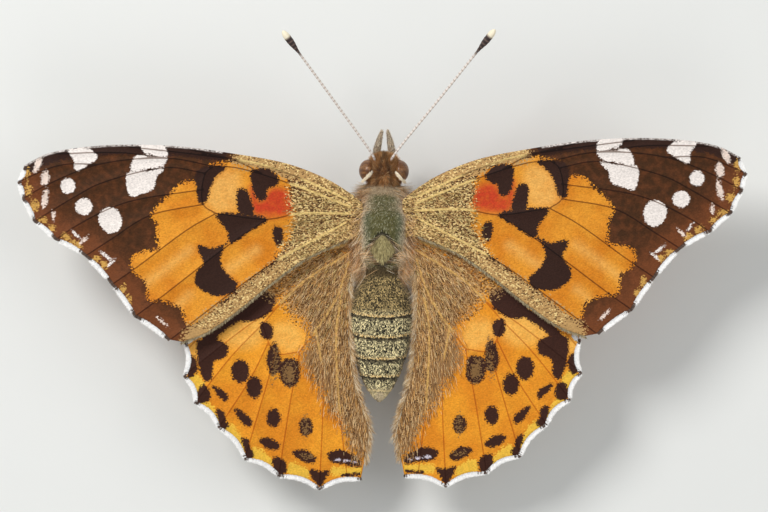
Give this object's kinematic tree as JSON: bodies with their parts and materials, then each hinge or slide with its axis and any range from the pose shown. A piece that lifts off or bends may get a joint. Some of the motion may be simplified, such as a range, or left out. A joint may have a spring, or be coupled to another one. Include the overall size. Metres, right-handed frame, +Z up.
{
  "type": "painted lady butterfly",
  "caption": "Life-size still model of a painted lady butterfly standing with its wings spread flat, orange with dark and white wing markings.",
  "frame": {"origin": "on the floor below the middle of the bounding box", "axes": "+Z up, +Y from tail to head, +X to the animal's right"},
  "size_m": [0.0639, 0.0405, 0.0119],
  "materials": {
    "wing": "matt overlapping scales, orange with black, brown and white markings",
    "body_coat": "olive, tan and cream hair and scales",
    "eye": "smooth tan-brown compound eye",
    "leg": "pale scaled legs and brown coiled proboscis",
    "antenna": "finely banded shaft with a dark club and pale tip"
  },
  "bodies": {
    "root": {"thorax": "body_coat", "abdomen": "body_coat", "head": "body_coat", "proboscis": "leg", "eye_left": "eye", "palp_left": "body_coat", "antenna_left": "antenna", "foreleg_left": "leg", "forewing_left": "wing", "hindwing_left": "wing", "midleg_femur_left": "leg", "midleg_tibia_left": "leg", "midleg_tarsus_left": "leg", "hindleg_femur_left": "leg", "hindleg_tibia_left": "leg", "hindleg_tarsus_left": "leg", "eye_right": "eye", "palp_right": "body_coat", "antenna_right": "antenna", "foreleg_right": "leg", "forewing_right": "wing", "hindwing_right": "wing", "midleg_femur_right": "leg", "midleg_tibia_right": "leg", "midleg_tarsus_right": "leg", "hindleg_femur_right": "leg", "hindleg_tibia_right": "leg", "hindleg_tarsus_right": "leg"}
  },
  "joints": []
}
